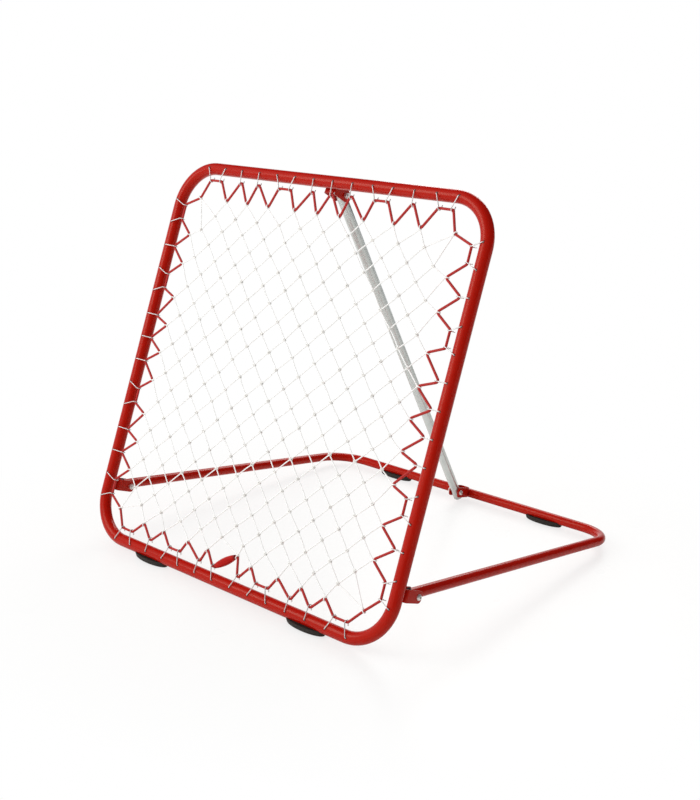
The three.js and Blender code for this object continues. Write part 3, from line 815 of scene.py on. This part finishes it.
# Net: knotted twine in diamonds, with a loop round the cord at each point of its edge
net = {
    "twine": 1.4 * mm,
    "loops": 9,
    "knot": 4.2 * mm,
    "rimKnot": 0.6,
    "knotWidth": 0.75,
    "knotTwine": 0.95,
    "knotTilt": 0.6,
    "knotSteps": 8,
    "sway": 1.6 * mm,
    "swayUp": 0.6,
    "bow": 0.9 * mm,
    "legSides": 6,
    "ringSteps": 14,
    "gapByCord": 0.3 * mm,
}
netEdge = (net["loops"] + 1) / 2
netRim = netEdge + 0.5
ringRadius = cord["radius"] + net["gapByCord"] + net["twine"]
insets = cord["loopInset"]
netAcross = 2 * (half - ringRadius) - insets["left"] - insets["right"]
netUp = 2 * (half - ringRadius) - insets["bottom"] - insets["top"]
netMiddle = Vector((
    (insets["left"] - insets["right"]) / 2, half + (insets["bottom"] - insets["top"]) / 2, cord["height"]))
netPitch = netAcross / (2 * netRim)
swayed = {}


def nudge(up=1.0):  # a chance shift, from -1 to 1 each way
    return Vector((dice.uniform(-1, 1), dice.uniform(-1, 1), dice.uniform(-up, up)))


def netKnot(column, row):  # knots are counted from the middle of the net, whole or half way along both directions
    if abs(column) + abs(row) == netEdge + netRim:
        corner = (1 if column > 0 else -1, 1 if row > 0 else -1)
        return cornerAt(corner, ringRadius * math.sqrt(0.5))
    for step, along, names in ((row, column, ("bottom", "top")), (column, row, ("left", "right"))):
        if abs(step) == netRim:
            side = names[step > 0]
            gap = loopGaps(side)[int(along + netEdge - 1)]
            return onSide(side, loopAt(side, gap), loopInset(side, gap) + ringRadius, cord["height"])
    if (column, row) not in swayed:
        swayed[column, row] = nudge(net["swayUp"]) * net["sway"]
    return netMiddle + Vector((column * netAcross, row * netUp, 0)) / (2 * netRim) + swayed[column, row]


def hasKnot(column, row):
    return max(abs(column), abs(row)) <= netRim and abs(column) + abs(row) <= netEdge + netRim


def halfSteps(reach):
    return [step / 2 for step in range(int(-2 * reach), int(2 * reach) + 1)]


knots = [(c, r) for c in halfSteps(netRim) for r in halfSteps(netRim) if (c + r) % 1 and hasKnot(c, r)]
netShape = emptyShape()
for column, row in knots:
    for rise in (-0.5, 0.5):
        end = (column + 0.5, row + rise)
        if not hasKnot(*end):
            continue
        a, b = netKnot(column, row), netKnot(*end)
        if (b - a).length < netPitch / 4:
            continue
        bow = nudge() * net["bow"]
        leg = [a, a.lerp(b, 0.33) + bow, a.lerp(b, 0.67) + bow, b]
        sweep(netShape, leg, net["twine"], net["legSides"])


def knotCoil(place, turn, size):  # two crossed turns of twine drawn tight
    for tilt in (net["knotTilt"], -net["knotTilt"]):
        ring = []
        spin = Matrix.Rotation(turn, 3, "Z") @ Matrix.Rotation(tilt * quarter, 3, "Y")
        for step in range(net["knotSteps"]):
            angle = 2 * math.pi * step / net["knotSteps"]
            ring.append(place + spin @ Vector((size * net["knotWidth"] * math.cos(angle), size * math.sin(angle), 0)))
        sweep(netShape, ring, net["twine"] * net["knotTwine"], 4, closed=True, mark=1.0)


for column, row in knots:
    onRim = max(abs(column), abs(row)) == netRim
    size = net["knot"] * (net["rimKnot"] if onRim else 1)
    knotCoil(netKnot(column, row), dice.uniform(0, math.pi), size)
for station in stations:  # a loop round the cord wherever it reaches for the net
    if station["kind"] == "hook":
        continue
    side = Vector((0, 0, 1)).cross(station["run"])
    ring = []
    for step in range(net["ringSteps"]):
        angle = 2 * math.pi * step / net["ringSteps"]
        ring.append(station["place"] + ringRadius * (side * math.cos(angle) + Vector((0, 0, math.sin(angle)))))
    sweep(netShape, ring, net["twine"], net["legSides"], closed=True)
netPiece = shapePiece("knottedNet", netShape)
# knots marked for the twine's painted shade
markPoints(netPiece, "knotted", netShape["marks"])
smooth(netPiece, 70)
netPiece.data.transform(frontPlace)
handOver(netPiece, "front", "white_twine", ["net"])
print("net knotted", len(knots), "knots", len(netPiece.data.polygons), "faces")

# Base: a bent tube with open arm ends
baseTube = {
    "arm": 483.5 * mm,
    "tail": 14 * mm,
    "lift": 4 * mm,
    "reach": 858 * mm,
    "bend": 95 * mm,
    "radius": 12.5 * mm,
    "wall": 1.5 * mm,
    "sides": 44,
    "bendSteps": 18,
    "rings": 10,
}
bendAlong = baseTube["reach"] - baseTube["bend"]
bendAcross = baseTube["arm"] - baseTube["bend"]


def baseRun(x, y):  # a straight run, with rings on its way
    return {"run": [(x / baseTube["rings"], y / baseTube["rings"], 0)] * baseTube["rings"]}


def baseBend(across):
    return {"centre": (across, bendAlong, 0), "angle": quarter, "steps": baseTube["bendSteps"]}


armRun = bendAlong + baseTube["tail"]
baseMoves = [
    baseRun(0, armRun), baseBend(bendAcross), baseRun(-2 * bendAcross, 0), baseBend(-bendAcross), baseRun(0, -armRun)]
armEnd = (baseTube["arm"], -baseTube["tail"], 0)
basePiece = drawTube("baseTube", baseTube["sides"], baseTube["radius"], armEnd, (0, 1, 0), baseMoves)
finishWith(basePiece, "SOLIDIFY", thickness=baseTube["wall"], offset=-1, use_even_offset=True)
smooth(basePiece)
basePiece.data.transform(basePlace @ Matrix.Translation((0, 0, baseTube["lift"])))
handOver(basePiece, "base", "red_paint", ["base_frame"])
print("base bent")

# Arm caps: a round head with a crest, on a plug in the open end of each arm
cap = {
    "radius": 12.5 * mm,
    "head": 4 * mm,
    "crest": 4 * mm,
    "crestPower": 18,
    "plug": 8 * mm,
    "plugRadius": 10.2 * mm,
    "plugEdge": 1 * mm,
    "edge": 0.8 * mm,
    "seat": 0.3 * mm,
}


def armCap():  # the head's back lies on y = 0, and its plug reaches into the arm along +y
    middle = -cap["head"] / 2
    piece = rod("armCap", 40, cap["radius"], cap["head"], (0, middle, 0), (quarter, 0, 0))
    for point in piece.data.vertices:  # the crest rises from its upper half, highest in the middle
        if point.co.z > 0:
            point.co.z += cap["crest"] * (point.co.z / cap["radius"]) ** cap["crestPower"]
    pick(piece, "EDGE", lambda a, b: abs(a.y - b.y) < 0.1 * mm and a.y < middle)
    bpy.ops.mesh.bevel(offset=cap["edge"], segments=3, affect="EDGES")
    evenOut()
    radius, edge = cap["plugRadius"], cap["plugEdge"]
    plug = turned("plug", 32, [(-edge, radius), (cap["plug"] - edge, radius), (cap["plug"], radius - edge)])
    plug.data.transform(Matrix.Rotation(-quarter, 4, "X"))
    combine(piece, plug, "UNION")
    smooth(piece)
    return piece


capMaster = armCap()
for name, way in bothSides:
    place = basePlace @ Matrix.Translation((way * baseTube["arm"], -baseTube["tail"] - cap["seat"], baseTube["lift"]))
    handOver(copyOf(capMaster, f"{name}ArmCap", place), "base", "black_plastic", [f"{name}_arm_cap"])
bpy.data.objects.remove(capMaster)

# Brackets: a plate bent into a U round the hinge, with its bolt and nut
bracket = {
    "inner": 26.2 * mm,
    "plate": 3 * mm,
    "height": 29 * mm,
    "length": 55 * mm,
    "bend": 6 * mm,
    "chamfer": 9 * mm,
    "reach": 43 * mm,
    "edge": 0.8 * mm,
    "seat": 0.3 * mm,
    "bead": 1.6 * mm,
    "beadLength": 26 * mm,
    "beadCuts": 18,
    "beadRipple": 0.14,
    "rippleRun": 1.5 * mm,
    "beadShare": 0.567,
    "beadSink": 0.5 * mm,
    "hingeUp": 124.5 * mm,
    "topTurn": math.radians(-9),
    "topSlide": -7 * mm,
    "rearTurn": math.radians(-12),
    "rearSlide": -3.5 * mm,
}
bolt = {
    "radius": 4 * mm,
    "tip": 3.2 * mm,
    "tail": 2 * mm,
    "edge": 0.8 * mm,
    "head": ((0, 7), (0.9, 7), (2.4, 6.6), (3.7, 5.7), (4.6, 4.3), (4.95, 3)),  # heights and radii, in millimetres
    "socket": 2.9 * mm,
    "socketRise": 5.2 * mm,
    "socketDepth": 6 * mm,
}
nut = {
    "height": 6.5 * mm,
    "across": 13 * mm,
    "edge": 0.8 * mm,
    "face": 6.4 * mm,
    "round": 7.6 * mm,
    "bore": 4.15 * mm,
}
bracketWidth = bracket["inner"] + 2 * bracket["plate"]


def bracketPiece():
    middle = (bracket["inner"] + bracket["plate"]) / 2
    depth = bracket["plate"] / 2
    bpy.ops.mesh.primitive_plane_add(size=1, location=(0, 0, -depth))
    piece = bpy.context.active_object
    piece.scale = (2 * middle, bracket["height"], 1)
    piece = fresh("bracket")
    drop = -(bracket["length"] - depth)
    pick(piece, "EDGE", lambda a, b: abs(a.x - b.x) < 0.1 * mm)
    extrudeBy((0, 0, drop))
    pick(piece, "EDGE", lambda a, b: a.x == b.x and a.z == b.z and a.z > -bracket["length"] / 2)
    bpy.ops.mesh.bevel(offset=bracket["bend"] - depth, segments=7, affect="EDGES")
    pick(piece, "VERT", lambda point: point.z < drop)
    bpy.ops.mesh.bevel(offset=bracket["chamfer"], segments=4, affect="VERTICES", profile=0.5)
    evenOut()
    finishWith(piece, "SOLIDIFY", thickness=bracket["plate"], offset=0, use_even_offset=True)
    finishWith(piece, "BEVEL", width=bracket["edge"], segments=3, limit_method="ANGLE", angle_limit=math.radians(50))
    smooth(piece, 30)
    return piece


def boltPiece():  # along X, with a domed head that has a hexagon socket
    seat = bracketWidth / 2 + bracket["seat"]
    tip = -(seat + nut["height"] + bracket["seat"] + bolt["tail"])
    head = [(seat + height * mm, radius * mm) for height, radius in bolt["head"]]
    shank = [(tip, bolt["tip"]), (tip + bolt["edge"], bolt["radius"]), (seat, bolt["radius"])]
    piece = turned("bolt", 40, shank + head)
    cutAway(piece, rod("socket", 6, bolt["socket"], bolt["socketDepth"], (0, 0, seat + bolt["socketRise"])))
    piece.data.transform(Matrix.Rotation(quarter, 4, "Y"))
    smooth(piece)
    return piece


def nutPiece():  # along X, six sides with its corners turned off
    end = nut["height"] / 2
    shoulder = end - nut["edge"]
    piece = rod("nut", 6, nut["across"] / 2 / math.cos(math.pi / 6), nut["height"])
    profile = [(-end, nut["face"]), (-shoulder, nut["round"]), (shoulder, nut["round"]), (end, nut["face"])]
    combine(piece, turned("chamfers", 48, profile), "INTERSECT")
    cutAway(piece, rod("bore", 32, nut["bore"], 2 * nut["height"]))
    middle = -(bracketWidth / 2 + bracket["seat"] + end)
    piece.data.transform(Matrix.Translation((middle, 0, 0)) @ Matrix.Rotation(quarter, 4, "Y"))
    smooth(piece, 30)
    return piece


def beadPiece():  # a run of weld, a little uneven
    length, cuts = bracket["beadLength"], bracket["beadCuts"]
    piece = rod("bead", 12, bracket["bead"], length, turn=(0, quarter, 0))
    take(piece, "EDIT")
    bpy.ops.mesh.select_all(action="SELECT")
    for cut in range(cuts):
        bpy.ops.mesh.bisect(plane_co=((cut - (cuts - 1) / 2) * length / (cuts + 1), 0, 0), plane_no=(1, 0, 0))
        bpy.ops.mesh.select_all(action="SELECT")
    bpy.ops.object.mode_set(mode="OBJECT")
    for point in piece.data.vertices:
        ripple = 1 + bracket["beadRipple"] * math.cos(point.co.x / bracket["rippleRun"] * math.pi)
        point.co.y *= ripple
        point.co.z *= ripple
    take(piece, "EDIT")
    evenOut()
    smooth(piece, 60)
    return piece


bracketMaster, boltMaster, nutMaster, beadMaster = bracketPiece(), boltPiece(), nutPiece(), beadPiece()


def addBracket(name, body, group, tubePlace, tubeRadius, turn, slide, nutOnRight, beadTurn):
    mount = group @ Matrix.Translation(tubePlace) @ Matrix.Rotation(turn, 4, "X")
    shift = Matrix.Translation((0, slide, -(tubeRadius + bracket["seat"])))
    piece = copyOf(bracketMaster, f"{name}Bracket", mount @ shift)
    handOver(piece, body, "red_paint", [f"{name}_bracket"])
    flip = Matrix.Rotation(math.pi if nutOnRight else 0, 4, "Z")
    pivot = mount @ shift @ Matrix.Translation((0, 0, -bracket["reach"])) @ flip
    handOver(copyOf(boltMaster, f"{name}Bolt", pivot), body, "zinc_steel", [f"{name}_bolt"])
    handOver(copyOf(nutMaster, f"{name}Nut", pivot), body, "zinc_steel", [f"{name}_nut"])
    for way in (-1, 1):  # a bead along both sides of the tube's line on the plate
        spot = Matrix.Rotation(beadTurn, 4, "Z") @ Vector((0, way * bracket["beadShare"] * tubeRadius, 0))
        height = bracket["beadSink"] - (tubeRadius + bracket["seat"])
        local = Matrix.Translation((spot.x, spot.y, height)) @ Matrix.Rotation(beadTurn, 4, "Z")
        handOver(copyOf(beadMaster, f"{name}Weld{way + 2}", mount @ local), body, "red_paint")


for name, way in bothSides:
    spot = Vector((way * baseTube["arm"], bracket["hingeUp"], 0))
    addBracket(f"{name}_hinge", "front", frontPlace, spot, frameTube["radius"], 0, 0, way < 0, quarter)
topTube = Vector((0, frameTube["span"], 0))
addBracket(
    "top", "front", frontPlace, topTube, frameTube["radius"], bracket["topTurn"], bracket["topSlide"], True, 0)
rearTube = Vector((0, baseTube["reach"], baseTube["lift"]))
rearTurn = bracket["rearTurn"] - math.radians(stand["base"]["slope"]) - quarter
addBracket("rear", "base", basePlace, rearTube, baseTube["radius"], rearTurn, bracket["rearSlide"], False, 0)
for master in (bracketMaster, boltMaster, nutMaster, beadMaster):
    bpy.data.objects.remove(master)
print("brackets, bolts and nuts set")

# Strut: a zinc tube with a hole at its top and an open slot at its foot
strut = {
    "radius": 12.5 * mm,
    "wall": 1.5 * mm,
    "top": -14 * mm,
    "slot": 1017.065 * mm,
    "tail": 22 * mm,
    "hole": 4.3 * mm,
    "cut": 40 * mm,
    "openWay": (0, 0.503, 0.864),
    "openRun": 30 * mm,
    "edge": 0.3 * mm,
    "sides": 44,
    "rings": 12,
}
strutRun = (strut["slot"] + strut["tail"] - strut["top"]) / strut["rings"]
strutMoves = [{"run": [(0, strutRun, 0)] * strut["rings"]}]
strutPiece = drawTube("strutTube", strut["sides"], strut["radius"], (0, strut["top"], 0), (0, 1, 0), strutMoves)
finishWith(strutPiece, "SOLIDIFY", thickness=strut["wall"], offset=-1, use_even_offset=True)
boltHole = rod("boltHole", 32, strut["hole"], strut["cut"], turn=(0, quarter, 0))
openLocal = strutPlace.to_3x3().inverted() @ Vector(strut["openWay"])
slotCutter = rod("slotCutter", 32, strut["hole"], strut["cut"], (0, strut["slot"], 0), (0, quarter, 0))
pick(slotCutter, "FACE", lambda middle, normal: normal.dot(openLocal) > 0.05)
extrudeBy(openLocal * strut["openRun"])
evenOut()
cutAway(strutPiece, boltHole)
cutAway(strutPiece, slotCutter)
finishWith(strutPiece, "BEVEL", width=strut["edge"], segments=2, limit_method="ANGLE", angle_limit=math.radians(60))
smooth(strutPiece, 30)
strutPiece.data.transform(strutPlace)
handOver(strutPiece, "strut", "zinc_tube", ["strut"])
print("strut cut")

# Feet: oval rubber pads with a saddle for the tube
foot = {
    "length": 120 * mm,
    "width": 46 * mm,
    "height": 15 * mm,
    "floor": 8 * mm,
    "sole": (0.92, 0.80, 1),
    "soleEdge": 5 * mm,
    "topEdge": 0.9 * mm,
    "rim": 2.2 * mm,
    "dish": 0.8 * mm,
    "cut": 200 * mm,
    "spread": 265 * mm,
    "row": 474.028 * mm,
}


def footPiece(tubeRadius):
    bpy.ops.mesh.primitive_cylinder_add(vertices=64, radius=0.5, depth=1, location=(0, 0, foot["height"] / 2))
    piece = bpy.context.active_object
    piece.scale = (foot["length"], foot["width"], foot["height"])
    piece = fresh("foot")
    pick(piece, "FACE", lambda middle, normal: normal.z < -0.9)
    bpy.ops.transform.resize(value=foot["sole"], center_override=(0, 0, 0))
    bpy.ops.mesh.bevel(offset=foot["soleEdge"], segments=7, affect="EDGES")
    pick(piece, "FACE", lambda middle, normal: normal.z > 0.9)
    bpy.ops.mesh.bevel(offset=foot["topEdge"], segments=3, affect="EDGES")
    pick(piece, "FACE", lambda middle, normal: normal.z > 0.99)
    bpy.ops.mesh.inset(thickness=foot["rim"])
    extrudeBy((0, 0, -foot["dish"]))
    evenOut()
    seat = foot["floor"] + bracket["seat"] + tubeRadius
    cutAway(piece, rod("saddle", 64, tubeRadius + bracket["seat"], foot["cut"], (0, 0, seat), (0, quarter, 0)))
    smooth(piece, 40)
    return piece


for row, body, radius in (("front", "front", frameTube["radius"]), ("rear", "base", baseTube["radius"])):
    master = footPiece(radius)
    for side, way in bothSides:
        place = Matrix.Translation((way * foot["spread"], foot["row"] * (-1 if row == "front" else 1), 0))
        piece = copyOf(master, f"{row}{side.title()}Foot", place)
        handOver(piece, body, "black_rubber", [f"{row}_{side}_foot"])
    bpy.data.objects.remove(master)
print("feet moulded")

# Floor, surroundings and lights
studio = {
    "floor": 16.0,
    "glow": 0.7,  # how white the floor is seen near the goal
    "clear": (0.62, 1.15),  # from where to where it fades to plain white
    "around": 0.78,
    "dim": 0.02,
    "backdrop": {"way": (-0.93, 0.36, 0), "from": 0.35, "to": 0.75, "share": 1.0},
    "leftScreen": {"way": (-0.62, -0.74, 0.25), "from": 0.5, "to": 0.9, "share": 0.7},
    "leftLight": 1.05,
    "darkSide": {"way": (0.75, 0.66, 0), "from": 0.0, "to": 0.7, "share": 0.6},
    "key": {"place": (-1.3, 2.8, 2.5), "size": (2.0, 2.2), "power": 51},
    "fill": {"place": (-1.5, -2.4, 1.9), "size": (1.6, 1.6), "power": 24.5},
    "aim": (0, 0, 0.4),
}
bpy.ops.mesh.primitive_plane_add(size=studio["floor"])
floor = fresh("floor")
pale = Finish("paleFloor")
pale.wear("Base Color", pale.mix(pale.noise(3, 2) * 0.2, (0.96, 0.94, 0.91), (0.93, 0.91, 0.88)))
pale.wear("Roughness", pale.noise(5, 2) * 0.1 + 0.24)
pale.wear("Specular IOR Level", 0.4)
seen = pale.node("ShaderNodeLightPath", outlet="Is Camera Ray")
away = pale.node("ShaderNodeVectorMath", {"operation": "LENGTH"}, {0: pale.object()}, "Value")
near, far = studio["clear"]
fade = pale.node("ShaderNodeMapRange", None, {"Value": away, "From Min": near, "From Max": far})
white = pale.node("ShaderNodeEmission", None, {"Color": (1, 1, 1), "Strength": 1.0})
blend = pale.node("ShaderNodeMixShader", None, {0: seen * (fade * (1 - studio["glow"]) + studio["glow"])})
mixer = blend.socket.node
pale.tree.links.new(pale.shader.outputs[0], mixer.inputs[1])
pale.tree.links.new(white.socket, mixer.inputs[2])
pale.tree.links.new(blend.socket, pale.tree.nodes["Material Output"].inputs["Surface"])
floor.data.materials.append(pale.owner)

world = bpy.data.worlds.new("surroundings")
bpy.context.scene.world = world
around = Finish("surroundings", world)
rays = around.tree.nodes.new("ShaderNodeLightPath")
seenDirectly, mirrored, through = (
    Value(around, rays.outputs[name]) for name in ("Is Camera Ray", "Is Glossy Ray", "Is Transmission Ray"))
sky = around.node("ShaderNodeTexCoord", outlet="Generated")
height = around.part(sky, 2)


def screen(name):  # a bright patch of the room, as the tubes mirror it
    patch = studio[name]
    facing = around.node("ShaderNodeVectorMath", {"operation": "DOT_PRODUCT"}, {0: sky, 1: patch["way"]}, "Value")
    return around.ramp(facing, (patch["from"], 0), (patch["to"], 1)) * patch["share"]


low = 1 - around.ramp(height, (0.22, 0), (0.45, 1))
below = 1 - around.ramp(height, (0.0, 0), (0.04, 1))
leftScreen = screen("leftScreen")
screens = around.maths("MAXIMUM", screen("backdrop") * low, leftScreen)
reflected = around.maths("MAXIMUM", around.maths("MAXIMUM", screens, below), studio["dim"])
backdrop = around.tree.nodes["Background"]
backdrop.inputs["Color"].default_value = (1, 1, 1, 1)
plain = (1 - screen("darkSide")) * studio["around"]
ambient = (1 - seenDirectly - mirrored - through) * (leftScreen * studio["leftLight"] + plain)
around.feed(backdrop.inputs["Strength"], seenDirectly + through + mirrored * reflected + ambient)

for name in ("key", "fill"):
    lamp = studio[name]
    bpy.ops.object.light_add(type="AREA", location=lamp["place"])
    light = bpy.context.active_object
    light.name = name
    light.data.shape = "RECTANGLE"
    light.data.size, light.data.size_y = lamp["size"]
    light.data.energy = lamp["power"]
    aim = Vector(studio["aim"]) - Vector(lamp["place"])
    light.rotation_euler = aim.to_track_quat("-Z", "Y").to_euler()
bpy.context.scene.view_settings.view_transform = "Standard"
print("studio lit")
